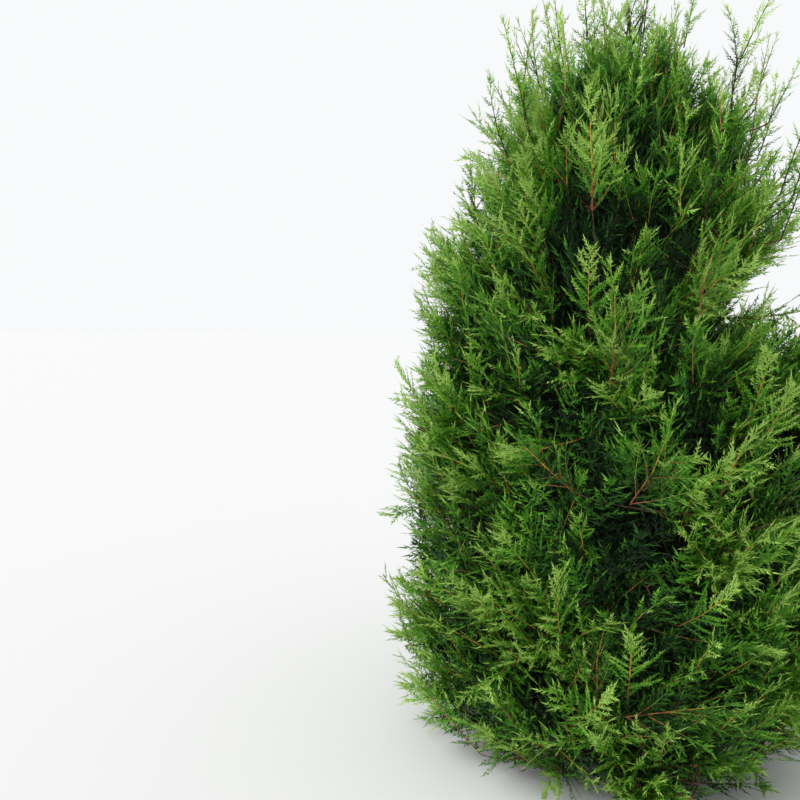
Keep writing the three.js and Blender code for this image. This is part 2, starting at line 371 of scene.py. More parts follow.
# Trunk and boughs: upright cylinders of many rings, given their relief, then bent on to their lines
trunkBark = {
    "sides": 36,
    "cuts": (90, 1),  # rings of the cylinder, then of every edge between them
    "ridges": (0.009, 0.02),  # depth and width
    "fibres": (0.004, 0.006),
    "drawnOut": 9,  # how much longer the relief is than wide
    "finish": barkFinish(
        "trunkBark", 150, tint(44, 29, 22), tint(86, 59, 43), tint(116, 84, 62), tint(156, 126, 100)
    ),
}
boughBark = {
    "sides": 12,
    "cuts": (20, 1),
    "ridges": (0.003, 0.01),
    "fibres": (0.0014, 0.004),
    "drawnOut": 6,
    "finish": barkFinish(
        "boughBark", 240, tint(66, 37, 24), tint(108, 62, 37), tint(138, 84, 50), tint(170, 120, 80)
    ),
    "shift": 0.7,  # of the pattern from one bough to the next
}


def cornersOf(mesh):
    corners = np.empty(len(mesh.vertices) * 3, np.float32)
    mesh.vertices.foreach_get("co", corners)
    return corners.reshape(-1, 3).astype(float)


def moveCorners(mesh, corners):
    mesh.vertices.foreach_set("co", corners.astype(np.float32).ravel())
    mesh.update()


# An upright cylinder of many rings, with its foot at the origin
def ringedCylinder(bark, length):
    bpy.ops.mesh.primitive_cylinder_add(
        vertices=bark["sides"], radius=1, depth=length, end_fill_type="NGON", location=(0, 0, length / 2)
    )
    limb = bpy.context.object
    bpy.ops.object.transform_apply(location=True)
    bpy.ops.object.mode_set(mode="EDIT")
    bpy.ops.mesh.select_mode(type="EDGE")
    bpy.ops.mesh.select_all(action="DESELECT")
    bpy.ops.object.mode_set(mode="OBJECT")
    heights = cornersOf(limb.data)[:, 2]
    for edge in limb.data.edges:
        low, high = edge.vertices
        edge.select = bool(abs(heights[low] - heights[high]) > length / 2)
    bpy.ops.object.mode_set(mode="EDIT")
    for cuts in bark["cuts"]:
        bpy.ops.mesh.subdivide(number_cuts=cuts)
    bpy.ops.object.mode_set(mode="OBJECT")
    return limb


def addRelief(limb, grid, depth, width):
    clouds = bpy.data.textures.new("clouds", type="CLOUDS")
    clouds.noise_scale = width
    relief = limb.modifiers.new("relief", "DISPLACE")
    relief.texture = clouds
    relief.texture_coords = "OBJECT"
    relief.texture_coords_object = grid
    relief.strength = depth
    bpy.context.view_layer.objects.active = limb
    bpy.ops.object.modifier_apply(modifier=relief.name)


def makeLimb(name, bark, length, radiusAt, bendTo, shift=0):
    limb = ringedCylinder(bark, length)
    limb.name = name
    corners = cornersOf(limb.data)
    radius = radiusAt(corners[:, 2] / length, np.arctan2(corners[:, 0], corners[:, 1]))
    corners[:, :2] *= radius[:, None]
    moveCorners(limb.data, corners)
    bpy.ops.object.empty_add(location=(shift, 0, 0))
    grid = bpy.context.object
    grid.scale.z = bark["drawnOut"]
    bpy.context.view_layer.update()
    addRelief(limb, grid, *bark["ridges"])
    addRelief(limb, grid, *bark["fibres"])
    bpy.data.objects.remove(grid)
    corners = cornersOf(limb.data)
    corners[:, 2] = np.clip(corners[:, 2], 0, length)
    grain = limb.data.attributes.new("grain", "FLOAT_VECTOR", "POINT")
    grain.data.foreach_set("vector", (corners + shift).astype(np.float32).ravel())
    moveCorners(limb.data, bendTo(corners[:, 2] / length, corners))
    limb.data.materials.append(bark["finish"])
    limb.data.shade_smooth()
    return limb


def bendTrunk(share, corners):
    bent = trunkPoint(share)
    bent[:, :2] += corners[:, :2]
    return bent


def makeTrunk():
    piece = makeLimb("trunkBark", trunkBark, trunk["height"], trunkRadius, bendTrunk)
    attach(piece, "root")
    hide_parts("trunk")
    return piece


def makeBough(index):
    line = limbLines[index]
    span = np.linalg.norm(line[2] - line[0])
    thin = min(1, span / crown["radius"])

    def radiusAt(share, angle):
        return mix(boughs["rootRadius"] * thin, boughs["tipRadius"], share)

    def bend(share, corners):
        curve = np.broadcast_to(line, (len(share), 3, 3))
        heading = headingOf(curve, share * boughs["share"])
        across = unit(np.cross(heading, up))
        second = np.cross(heading, across)
        middle = alongCurve(curve, share * boughs["share"])
        return middle + across * corners[:, :1] + second * corners[:, 1:2]

    length = span * boughs["share"]
    return makeLimb(f"bough{index}", boughBark, length, radiusAt, bend, index * boughBark["shift"])


def makeBoughs():
    limbs = [makeBough(index) for index in range(boughs["count"])]
    bpy.ops.object.select_all(action="DESELECT")
    for limb in limbs:
        limb.select_set(True)
    bpy.context.view_layer.objects.active = limbs[0]
    bpy.ops.object.join()
    piece = bpy.context.object
    piece.name = "boughBark"
    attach(piece, "root")
    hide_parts(*[f"bough_{index + 1:02d}" for index in range(boughs["count"])])
    return piece


trunkPiece = makeTrunk()
boughPiece = makeBoughs()
print("trunk and boughs:", len(trunkPiece.data.polygons), "and", len(boughPiece.data.polygons), "faces")

# Each mass of foliage has a room of its own in the crown, round its middle
rooms = {
    "middles": (0.64, 0.68),  # shares of the limb: of the lowest and of the highest
    "leaderMiddle": 0.32,
    "overlap": 0.04,  # how far main twigs reach into the next room
    "step": 0.02,  # in which a ray is followed
    "farthest": 1.0,
}


def makeMiddles():
    order = np.arange(massCount) / boughs["count"]
    along = mix(*rooms["middles"], order)
    return alongCurve(limbLines, np.where(isLeader, rooms["leaderMiddle"], along))


massMiddles = makeMiddles()


def awayFrom(middles, points):
    return np.linalg.norm(points[:, None] - middles, axis=-1)


def nearestMass(points):
    return awayFrom(massMiddles, points).argmin(1)


# How much farther points are from their own mass's middle than from the nearest other's
def strayOf(points, mass):
    away = awayFrom(massMiddles, points)
    return away[np.arange(len(mass)), mass] - away.min(-1)


# How far rays run before they leave the crown, and their mass's room if one is given
def reachOf(points, direction, mass=None):
    reach = np.zeros(len(points))
    going = np.ones(len(points), bool)
    for count in range(round(rooms["farthest"] / rooms["step"])):
        probe = points + direction * (count + 1) * rooms["step"]
        going &= (depthOf(probe) > 0) & (probe[:, 2] > crown["footGap"])
        if mass is not None:
            going &= strayOf(probe, mass) < rooms["overlap"]
        reach[going] += rooms["step"]
    return reach


# How the foliage ends: it is close below and loose above, and ragged at one side of the top
surface = {
    "looseFrom": 1.2,  # heights between which it loosens
    "looseAt": 2.1,
    "recesses": (0.13, 0.18),  # how far back the plumes may end, below and above
    "proud": 0.015,  # how far they may end past the crown's surface
    "valley": 0.25,  # width of the stretch between two masses where they lie back
    "ridgeShare": 0.45,  # how much of this comes from the valleys; the rest is chance
    "ragged": 1.3,  # the more, the fewer reach out in the upper crown
    "crest": 0.02,  # how much lower the close foliage ends than the shoots at the top
    "crestRise": 0.3,
    "open": {"azimuth": -10, "spread": 0.9, "height": 2, "rise": 0.3, "depth": 0.17},  # the ragged side
    "openRagged": 4,
}


def looseness(height):
    return between(surface["looseFrom"], surface["looseAt"], height)


layers = {
    "lowest": 0.05,
    "narrowest": 0.02,
    "rows": 300,  # in which a layer's area is added up
    "topCrowding": 0.9,
    "turn": 40,  # radians for each metre of depth, so that no two layers line up
    "keptFrom": 0.8,  # of their depth
}


# Points in a layer beneath the crown's surface, spread evenly but for the loose top; its area is
# measured on the side that has no notch
def spreadBeneath(depth, count, looser=0):
    rows = np.linspace(layers["lowest"], crown["height"] - depth - looser, layers["rows"])
    radius = np.maximum(crownReach(rows, math.pi) - depth, layers["narrowest"])
    area = radius * np.hypot(np.gradient(rows), np.gradient(radius))
    crowded = np.cumsum(area * (1 + layers["topCrowding"] * looseness(rows)))
    index = np.arange(count)
    height = np.interp((index + 0.5) / count, crowded / crowded[-1], rows)
    azimuth = index * goldenAngle + depth * layers["turn"]
    depth = depth + looser * looseness(height) + dentAt(surface["open"], azimuth, height)
    points = around(azimuth, np.maximum(crownReach(height, azimuth) - depth, layers["narrowest"]), height)
    return points[crownDepth(points) > depth * layers["keptFrom"]]


# Fresh plumes gather in tufts, with furrows between them
tufts = {
    "count": 170,
    "depth": 0.1,  # of their middles beneath the surface
    "furrow": 0.12,  # how much deeper the plumes end there
    "furrowWidth": 0.1,
    "fanOut": 3.2,
    "lightSpread": 0.16,
    "topLight": 0.5,  # for each metre above the tuft's middle
    "lightReach": 0.2,
}
tuftMiddles = spreadBeneath(tufts["depth"], tufts["count"])


# The nearest tuft, and how far from its rim: 0 in a furrow, 1 well inside
def tuftAt(points):
    away = awayFrom(tuftMiddles, points)
    nearest, second = np.partition(away, 1, axis=-1)[:, :2].T
    return away.argmin(1), np.clip((second - nearest) / tufts["furrowWidth"], 0, 1)


# Painted light that makes each tuft lighter towards its top, plus a tone that differs at random from tuft to
# tuft
def tuftLight(points):
    tuft = tuftAt(points)[0]
    above = np.clip(points[:, 2] - tuftMiddles[tuft, 2], -tufts["lightReach"], tufts["lightReach"])
    return tufts["lightSpread"] * (chance(tuft, 101) - 0.5) + tufts["topLight"] * above


# How far beneath the surface each fresh plume ends
def recessAt(points, key):
    away = np.sort(awayFrom(massMiddles, points), axis=-1)
    ridge = np.clip((away[:, 1] - away[:, 0]) / surface["valley"], 0, 1)
    loose = looseness(points[:, 2])
    side = dentAt(surface["open"], np.arctan2(points[:, 1], points[:, 0]), points[:, 2])
    deepest = mix(*surface["recesses"], loose) + side
    power = mix(1, surface["ragged"], loose) + side * surface["openRagged"]
    outmost = mix(chance(key, 19), ridge, surface["ridgeShare"]) ** power
    crest = surface["crest"] * np.clip((points[:, 2] - surface["looseAt"]) / surface["crestRise"], 0, 1)
    furrow = tufts["furrow"] * (1 - tuftAt(points)[1])
    return mix(deepest, -surface["proud"], outmost) + crest + furrow


# Dark hollows that the photograph shows: azimuth and height, with half their width and height
hollows = [
    (-99, 1.8, 0.18, 0.15),
    (-86, 1.76, 0.17, 0.15),
    (-93, 1.56, 0.14, 0.08),
    (-80, 1.53, 0.13, 0.1),
    (-105, 1.21, 0.12, 0.08),
    (-83, 0.9, 0.14, 0.1),
    (-76, 0.69, 0.12, 0.09),
]


def inHollow(points):
    inside = np.zeros(points.shape[:-1], bool)
    for azimuth, height, halfWidth, halfHeight in hollows:
        middle = around(math.radians(azimuth), np.linalg.norm(points[..., :2], axis=-1), height)
        sideways = np.linalg.norm((points - middle)[..., :2], axis=-1) / halfWidth
        inside |= np.hypot(sideways, (points[..., 2] - height) / halfHeight) < 1
    return inside


# The least heights at which the foliage's own pieces stand
lowest = {
    "needles": 0.006,
    "axes": 0.01,
    "knees": 0.02,
    "roots": 0.03,
}

mainTwigs = {
    "count": 11,  # on each stem; one more goes on from its end
    "stemShare": 0.78,
    "stemEnd": 0.02,  # of the limb, from the foremost twig to the stem's end
    "tilts": (14, 105),  # of the foremost twig and of the rearmost
    "rearmost": 0.3,
    "rootRadius": 0.0042,
    "tipRadius": 0.0022,
    "shares": (0.72, 0.55),  # of the way they could run, where the crown is close and where it is loose
    "drooping": 0.35,  # the same for those that point straight down
    "hang": 0.05,  # of that way, at their knees
}


# Main twigs leave the stem as the solids' do
def growMainTwigs():
    count = mainTwigs["count"] + 1
    mass = np.repeat(np.arange(massCount), count)
    twig = np.tile(np.arange(count), massCount)
    isEnd = twig == mainTwigs["count"]
    order = (twig + 0.5) / mainTwigs["count"]
    stemShare = mainTwigs["stemShare"]
    rearmost = mix(bareShare[mass], stemShare, mainTwigs["rearmost"])
    startShare = np.where(isEnd, stemShare, mix(stemShare - mainTwigs["stemEnd"], rearmost, order))
    narrow, wide = [math.cos(math.radians(tilt)) for tilt in mainTwigs["tilts"]]
    tilt = np.where(isEnd, 0, np.arccos(np.clip(mix(narrow, wide, order), -1, 1)))
    turn = twig * goldenAngle + 2 * math.pi * chance(mass, 3)
    start = alongCurve(limbLines[mass], startShare)
    heading = beside(headingOf(limbLines[mass], stemShare), tilt, turn)
    reach = reachOf(start, heading, mass)
    share = mix(*mainTwigs["shares"], looseness(start[:, 2]))
    share = mix(share, mainTwigs["drooping"], np.clip(-heading[:, 2], 0, 1))
    end = start + heading * (reach * share)[:, None]
    knee = (start + end) / 2 - up * (reach * mainTwigs["hang"])[:, None]
    knee[:, 2] = np.maximum(knee[:, 2], lowest["knees"])
    return {"mass": mass, "heading": heading, "reach": reach, "curve": np.stack([start, knee, end], 1)}


# A row of plumes of one kind; the key settles what is left to chance, such as the roll, in radians
def plumeRow(kind, mass, root, heading, length, key):
    roll = drawn(kind["rolls"], key, kind["rollUse"])
    return {"mass": mass, "root": root, "heading": heading, "length": length, "roll": roll, "key": key}


def keepPlumes(plumes, kept):
    return {name: values[kept] for name, values in plumes.items()}


def clearOfGap(plumes, spare=0):
    shares = np.array(gap["clearPlaces"])[:, None, None]
    points = plumes["root"] + plumes["heading"] * plumes["length"][:, None] * shares
    return keepPlumes(plumes, (gapAway(points) > spare).all(0))


freshPlumes = {
    "perTwig": 4,
    "forkPlaces": (0.12, 0.8),  # of the way that the main twig could run
    "forkAngles": (62, 20),
    "forkLengths": (0.05, 0.11),
    "evenly": 850,  # more of them, spread over the whole surface
    "evenDepth": 0.14,
    "evenTilts": (0.5, 1.4),  # radians
    "branchPull": 0.35,  # a plume heads along its branch, upwards and outwards
    "upPulls": (0.2, 0.6),
    "outPulls": (0.42, 0.68),  # in the lower crown and in the upper one
    "outHeights": (0.8, 1.6),  # between which the one becomes the other
    "rolls": (-0.8, 0.8),  # radians
    "rollUse": 23,  # tells this draw from the others
    "hollowThinning": 0.72,  # share of the plumes that the hollows are without
    "lengths": (0.2, 0.38),
    "longShare": 0.6,  # the less, the more of them are long
    "sprays": 20,  # side sprays along one plume
    "patterns": 8,
    "seed": 400,
    "sprayLength": 0.38,  # of the plume's length, at its widest
    "angles": (56, 26),  # of the sprays, at the plume's foot and at its tip
    "needleGap": 0.02,  # of the plume's length
    "needleLength": 0.07,
    "needleWidth": 0.0165,
    "barbs": 0.45,  # share of the needles that fork
    "rough": 18,  # how far the sprays tilt out of the plume's face
    "bend": 0.1,  # out of its face at the tip
    "paintedLight": 0.04,  # painted light and shade: how much brighter they are than the painted shade for depth makes them
    "axis": (1, 2, 3),  # finishes from foot to tip
}


# The feet of plumes, drawn back by what they are too long for their room
def drawnBack(root, heading, length, room):
    return root - heading * np.maximum(0, length - room)[:, None]


# Fresh plumes grow outwards and upwards, away from their tuft's middle, and end near the crown's surface
def plumesAt(root, branch, mass, key):
    high = between(*freshPlumes["outHeights"], root[:, 2])
    outward = outwardAt(root) * mix(*freshPlumes["outPulls"], high)[:, None]
    upward = up * drawn(freshPlumes["upPulls"], key, 11)[:, None]
    aside = (root - tuftMiddles[tuftAt(root)[0]]) * tufts["fanOut"]
    heading = unit(branch * freshPlumes["branchPull"] + outward + upward + aside)
    length = mix(*freshPlumes["lengths"], chance(key, 13) ** freshPlumes["longShare"])
    root = drawnBack(root, heading, length, reachOf(root, heading) - recessAt(root, key))
    root[:, 2] = np.maximum(root[:, 2], lowest["roots"])
    middle = root + heading * (length / 2)[:, None]
    kept = ~inHollow(middle) | (chance(key, 71) > freshPlumes["hollowThinning"])
    return clearOfGap(keepPlumes(plumeRow(freshPlumes, mass, root, heading, length, key), kept))


def growTwigPlumes(twigs):
    count = freshPlumes["perTwig"]
    twig = np.repeat(np.arange(len(twigs["mass"])), count)
    order = np.tile(np.arange(count), len(twigs["mass"]))
    share = (order + 0.5) / count
    along, reach = twigs["heading"][twig], twigs["reach"][twig]
    away = reach * mix(*freshPlumes["forkPlaces"], share)
    turn = order * goldenAngle + 2 * math.pi * chance(twig, 5)
    branch = beside(along, np.radians(mix(*freshPlumes["forkAngles"], share)), turn)
    root = twigs["curve"][twig, 0] + along * away[:, None]
    root = root + branch * mix(*freshPlumes["forkLengths"], chance(twig, order, 7))[:, None]
    return plumesAt(root, branch, twigs["mass"][twig], twig + order / 100)


# More of them, spread evenly, so that the surface closes between the masses
def growEvenPlumes():
    root = spreadBeneath(freshPlumes["evenDepth"], freshPlumes["evenly"])
    key = np.arange(len(root)) + 0.5
    branch = beside(outwardAt(root), drawn(freshPlumes["evenTilts"], key, 61), 2 * math.pi * chance(key, 67))
    return plumesAt(root, branch, nearestMass(root), key)


# Plumes that stand out in the photograph, and what they share
foremostPlumes = {
    # Azimuth, height, length, and lean to the right
    "places": [
        (-98, 1.87, 0.34, 1),
        (-92, 1.37, 0.36, 10),
        (-72, 1.57, 0.27, -1),
        (-87, 1.04, 0.3, 38),
        (-93, 0.46, 0.25, -9),
        (-99, 1.06, 0.27, -50),
        (-86, 0.38, 0.33, 74),
    ],
    "depth": 0.1,  # of their feet
    "outward": 0.12,
    "sides": 7,  # smaller ones to both sides of each, farther and farther up its axis
    "sideFeet": (-0.1, 0.6),
    "sideSwings": (18, 58),
    "sideTilts": (-0.2, 0.7),
    "sideLengths": (0.62, 0.34),
    "lengthSpread": (0.75, 1.3),
    "rolls": (-0.9, 0.9),
    "rollUse": 89,
    "sprays": 15,
    "patterns": 8,
    "seed": 450,
    "sprayLength": 0.34,
    "angles": (50, 24),
    "needleGap": 0.015,
    "needleLength": 0.058,
    "needleWidth": 0.0105,
    "barbs": 0.6,
    "rough": 26,
    "bend": 0.16,
    "paintedLight": -0.36,
    "axis": (1, 2, 3),
    "sideAxis": (1, 3, 3),
}


# Directions that lean to the right and outwards, as they are seen from outside
def leaning(outward, lean, tilt):
    lean = lean[:, None]
    return unit(up * np.cos(lean) + unit(np.cross(up, outward)) * np.sin(lean) + outward * tilt)


def growForemost():
    places = foremostPlumes["places"]
    sides = foremostPlumes["sides"] + 1
    rank = np.tile(np.arange(sides), len(places))
    isSide = rank > 0
    key = np.arange(len(rank)) + 0.25
    azimuth, height, length, lean = np.repeat(np.array(places), sides, 0).T
    azimuth, lean = np.radians(azimuth), np.radians(lean)
    foot = around(azimuth, crownReach(height, azimuth) - foremostPlumes["depth"], height)
    outward = outwardAt(foot)
    ahead = leaning(outward, lean, foremostPlumes["outward"])
    root = foot + ahead * (length * mix(*foremostPlumes["sideFeet"], rank / sides) * isSide)[:, None]
    swing = np.where(rank % 2, 1, -1) * np.radians(drawn(foremostPlumes["sideSwings"], key, 73))
    tilt = foremostPlumes["outward"] + drawn(foremostPlumes["sideTilts"], key, 79) * isSide
    heading = leaning(outward, lean + swing * isSide, tilt[:, None])
    shorter = mix(*foremostPlumes["sideLengths"], rank / sides)
    shorter = np.where(isSide, shorter * drawn(foremostPlumes["lengthSpread"], key, 83), 1)
    return plumeRow(foremostPlumes, nearestMass(root), root, heading, length * shorter, key), isSide


innerPlumes = {
    # Depth of each layer beneath the crown's surface, how many, and how much larger than the rest
    "layers": [(0.18, 600, 1), (0.27, 420, 1), (0.37, 280, 1.2), (0.48, 190, 1.5), (0.6, 110, 1.7)],
    "looser": 0.2,  # deeper by this at the top
    "highest": 2.38,
    "upPull": 0.8,
    "outPull": 0.35,
    "sidePulls": (-1, 1),
    "rolls": (-0.5, 0.5),
    "rollUse": 47,
    "gapSpare": 0.05,  # how far they keep from the gap
    "lengths": (0.24, 0.34),
    "sprays": 16,
    "patterns": 4,
    "seed": 500,
    "sprayLength": 0.44,
    "angles": (60, 32),
    "needleGap": 0.034,
    "needleLength": 0.105,
    "needleWidth": 0.025,
    "barbs": 0,
    "rough": 16,
    "bend": 0.06,
    "paintedLight": -0.16,
}


# Older plumes spread evenly through layers beneath the surface, so that the crown closes; their darker colour
# is painted shade
def growInnerPlumes():
    rows, larger = [], []
    for depth, count, size in innerPlumes["layers"]:
        layer = spreadBeneath(depth, count, innerPlumes["looser"])
        rows.append(layer)
        larger += [size] * len(layer)
    middle = np.concatenate(rows)
    key = np.arange(len(middle)) * 1.0
    outward = outwardAt(middle)
    sideways = unit(np.cross(outward, up)) * drawn(innerPlumes["sidePulls"], key, 41)[:, None]
    heading = unit(up * innerPlumes["upPull"] + sideways + outward * innerPlumes["outPull"])
    length = np.array(larger) * drawn(innerPlumes["lengths"], key, 43)
    root = middle - heading * (length / 2)[:, None]
    root[:, 2] = np.clip(root[:, 2], lowest["roots"], innerPlumes["highest"] - heading[:, 2] * length)
    plumes = plumeRow(innerPlumes, nearestMass(middle), root, heading, length, key)
    return clearOfGap(plumes, innerPlumes["gapSpare"])


wisps = {
    "lowest": 1.96,
    "lowestOpen": 1.75,  # on the ragged side
    "openFrom": 0.03,
    "deepest": 0.2,  # of their roots
    "leans": (0.2, 1.2),
    "above": 0.06,  # how far they may end above the solids
    "rolls": (-1.5, 1.5),
    "rollUse": 59,
    "lengths": (0.22, 0.4),
    "sprays": 14,
    "patterns": 3,
    "seed": 600,
    "sprayLength": 0.2,
    "angles": (44, 24),
    "needleGap": 0.018,
    "needleLength": 0.07,
    "needleWidth": 0.013,
    "barbs": 0.3,
    "rough": 20,
    "bend": 0.03,
    "paintedLight": -0.5,
    "axis": (0, 0, 1),
}


# Long thin shoots that go on from the ends of the upper main twigs, and stand up out of the dome
def growWisps(twigs):
    end = twigs["curve"][:, 2]
    isOpen = dentAt(surface["open"], np.arctan2(end[:, 1], end[:, 0]), end[:, 2]) > wisps["openFrom"]
    least = np.where(isOpen, wisps["lowestOpen"], wisps["lowest"])
    twig = np.flatnonzero((end[:, 2] > least) & (depthOf(end) < wisps["deepest"]))
    key = twig * 1.0
    root = end[twig]
    heading = unit(up + outwardAt(root) * drawn(wisps["leans"], key, 53)[:, None])
    length = drawn(wisps["lengths"], key, 57)
    headroom = (cadBox[1][2] + wisps["above"] - root[:, 2]) / heading[:, 2]
    root = drawnBack(root, heading, length, headroom)
    return clearOfGap(plumeRow(wisps, twigs["mass"][twig], root, heading, length, key))


# How every plume is built. Its sprays stand on its axis, and needles stand to both sides of each spray.
habit = {
    "sprayPlaces": (0.05, 0.95),  # along the axis
    "sprayShift": 0.3,  # of the distance between two
    "sprayTurn": 10,
    "footSwell": 0.5,  # how long the first sprays are
    "swelling": 1.9,
    "taperFrom": 1.1,
    "taper": 0.85,
    "sprayLengths": (0.5, 1.3),
    "lift": 4,
    "curl": (0.25, 0.3),  # towards the plume's tip: middle and spread
    "fewest": 4,  # needles of a spray
    "splay": (40, 28),  # of the needles, at the spray's foot and at its tip
    "splayTurn": 8,
    "tipNeedle": 0.62,  # how much shorter needles are there
    "needleLengths": (0.6, 1.25),
    "needleLift": 0.16,  # radians
    "barbAt": 0.4,  # of the needle's length
    "barbTurn": 0.6,  # radians
    "barbLength": 0.45,
    "needleTwist": 0.6,  # radians
    "needleWidths": (0.8, 1.15),
    "fan": (-0.5, -0.2, 0, 0.25, 0.5),  # bearings of the needles at the plume's tip, in radians
    "fanAt": 0.94,
    "sweeps": (-0.08, 0.32),  # how far plumes sweep upwards
}

# The parts of a spray are both sides of its inner half, both sides of its outer half, and its rib
partCount = 5
tipPart, ribPart = 2, 4


def upTo(draw, most):
    return draw.uniform(-most, most)


# A needle of three corners, in a pattern of one flat plume along +X that is 1 long
def needleAt(kind, draw, foot, bearing, lift, length):
    heading = np.array([math.cos(bearing), math.sin(bearing), math.sin(lift)])
    turn = upTo(draw, habit["needleTwist"])
    across = np.array([-heading[1] * math.cos(turn), heading[0] * math.cos(turn), math.sin(turn)])
    half = kind["needleWidth"] / 2 * draw.uniform(*habit["needleWidths"])
    return [foot - across * half, foot + across * half, foot + heading * length]


# Sprays grow longer from the plume's foot, then shorter again to its tip
def swellAt(foot):
    swell = min(1, habit["footSwell"] + habit["swelling"] * foot)
    return swell * (habit["taperFrom"] - habit["taper"] * foot)


# A needle that stands on a spray, and at times its two barbs
def barbedNeedle(kind, draw, point, bearing, lift, along):
    length = kind["needleLength"] * mix(1, habit["tipNeedle"], along) * draw.uniform(*habit["needleLengths"])
    needles = [needleAt(kind, draw, point, bearing, lift + draw.normal(0, habit["needleLift"]), length)]
    if draw.random() < kind["barbs"]:
        fork = point + habit["barbAt"] * length * np.array([math.cos(bearing), math.sin(bearing), 0])
        for turn in (-habit["barbTurn"], habit["barbTurn"]):
            needles.append(needleAt(kind, draw, fork, bearing + turn, lift, length * habit["barbLength"]))
    return needles


def sprayNeedles(kind, draw, number):
    share = (number + 0.5 + upTo(draw, habit["sprayShift"])) / kind["sprays"]
    foot = mix(*habit["sprayPlaces"], share)
    side = 1 if number % 2 else -1
    angle = mix(*kind["angles"], foot) + upTo(draw, habit["sprayTurn"])
    bearing = side * math.radians(angle)
    length = kind["sprayLength"] * swellAt(foot) * draw.uniform(*habit["sprayLengths"])
    lift = math.radians(draw.normal(habit["lift"], kind["rough"]))
    curl = draw.normal(*habit["curl"])
    count = max(habit["fewest"], round(length / kind["needleGap"]))
    start = point = np.array([foot, 0, 0])
    needles, parts = [], []
    for needle in range(count):
        along = needle / count
        heading = bearing * (1 - curl * along)
        hand = 1 if needle % 2 else -1
        splay = mix(*habit["splay"], along) + upTo(draw, habit["splayTurn"])
        barbed = barbedNeedle(kind, draw, point, heading + hand * math.radians(splay), lift, along)
        needles += barbed
        parts += [tipPart * (along >= 0.5) + (hand < 0)] * len(barbed)
        point = point + np.array([math.cos(heading), math.sin(heading), math.sin(lift)]) * length / count
    needles.append(needleAt(kind, draw, point, heading, lift, kind["needleLength"]))
    needles.append(needleAt(kind, draw, start, bearing * (1 - curl / 2), lift, length))  # the rib
    return needles, parts + [tipPart, ribPart], (point + start) / 2


# A pattern's needles, the part of a spray that each is in, and the middles of its sprays
def makePattern(kind, seed):
    draw = np.random.default_rng(seed)
    needles, partOf, middles = [], [], []
    for number in range(kind["sprays"]):
        spray, parts, middle = sprayNeedles(kind, draw, number)
        needles += spray
        partOf += [number * partCount + part for part in parts]
        middles.append(middle)
    for bearing in habit["fan"]:
        foot = np.array([habit["fanAt"], 0, 0])
        needles.append(needleAt(kind, draw, foot, bearing, 0, kind["needleLength"]))
        partOf.append(partOf[-1])
    corners = np.array(needles)
    corners[..., 2] += kind["bend"] * corners[..., 0] ** 2
    return corners, np.array(partOf), np.array(middles)


# Each plume's own axes: its heading, then across its face, then out of its face
def basesOf(plumes):
    level = unit(np.cross(outwardAt(plumes["root"]), plumes["heading"]))
    face = np.cross(plumes["heading"], level)
    turn = plumes["roll"][:, None]
    rolled = level * np.cos(turn) + face * np.sin(turn)
    return np.stack([plumes["heading"], rolled, np.cross(plumes["heading"], rolled)], 1)


# Points of a plume pattern, swept upwards and set in the place of each plume
def placed(points, plumes):
    bases = basesOf(plumes)
    sweep = np.sign(bases[:, 1, 2]) * drawn(habit["sweeps"], plumes["key"], 97)
    swept = np.repeat(points[None], len(bases), 0)
    swept[..., 1] += sweep[:, None] * swept[..., 0] ** 2
    return plumes["root"][:, None] + plumes["length"][:, None, None] * (swept @ bases)


foliage = {
    # Lit and shaded copies of one green, from the deepest painted shade to the brightest painted light; tone
    # that differs at random also picks among them
    "shades": [
        ("sprayHollowShade", tint(18, 41, 15)),
        ("sprayShade", tint(31, 65, 19)),
        ("sprayDeepShade", tint(48, 92, 24)),
        ("sprayMid", tint(65, 119, 29)),
        ("sprayHalfLit", tint(85, 143, 38)),
        ("sprayBrightLit", tint(114, 164, 52)),
        ("sprayTipLit", tint(154, 191, 90)),
    ],
    "roughness": 0.62,
    "gloss": 0.25,
    "shadeDepth": 0.33,  # beneath the crown's surface, where all is dark
    "gapShade": 0.07,  # as if the sprays in the gap lay deeper by this
    "hollowShade": 0.06,  # the same for those in the hollows
    "hollowFrom": 0.08,  # beneath the surface
    "tipLight": 0.36,  # how much brighter a plume's tip is than its foot
    "plumeSpread": 0.22,  # how much one plume's brightness may differ from the next
    "spraySpread": 0.16,
    "topLight": 0.48,
    "topPower": 3,  # the higher, the nearer to the crown's top this light stays
    "partLight": (-0.08, -0.2, 0.14, -0.08, -0.06),  # painted light and shade for each part of a spray: its outer half and one side lighter than the rest
    "past": 0.03,  # how far leaves may stand out of the solids' box, as a share of its sides
}
leafFinishes = [
    Finish(name).surface(
        Base_Color=colour, Roughness=foliage["roughness"], Specular_IOR_Level=foliage["gloss"]
    )
    for name, colour in foliage["shades"]
]


# Painted shade and light: sprays are darker the deeper they lie, and lighter towards their plume's tip and
# the crown's top
def shadesOf(kind, middle, along, light, key):
    depth = np.minimum(crownDepth(middle), gapAway(middle) + foliage["gapShade"])
    depth += foliage["hollowShade"] * (inHollow(middle) & (depth > foliage["hollowFrom"]))
    bright = 1 - np.clip(depth / foliage["shadeDepth"], 0, 1) + kind["paintedLight"] + light[:, None]
    topLight = foliage["topLight"] * (middle[..., 2] / crown["height"]) ** foliage["topPower"]
    bright += foliage["tipLight"] * (along - 0.5) + topLight
    bright += foliage["plumeSpread"] * (chance(key, 31)[:, None] - 0.5)
    bright += foliage["spraySpread"] * (chance(key[:, None], np.arange(len(along)), 37) - 0.5)
    bright = (bright[..., None] + np.array(foliage["partLight"])).reshape(len(key), -1)
    levels = len(foliage["shades"])
    return np.clip(np.floor(bright * levels), 0, levels - 1).astype(int)


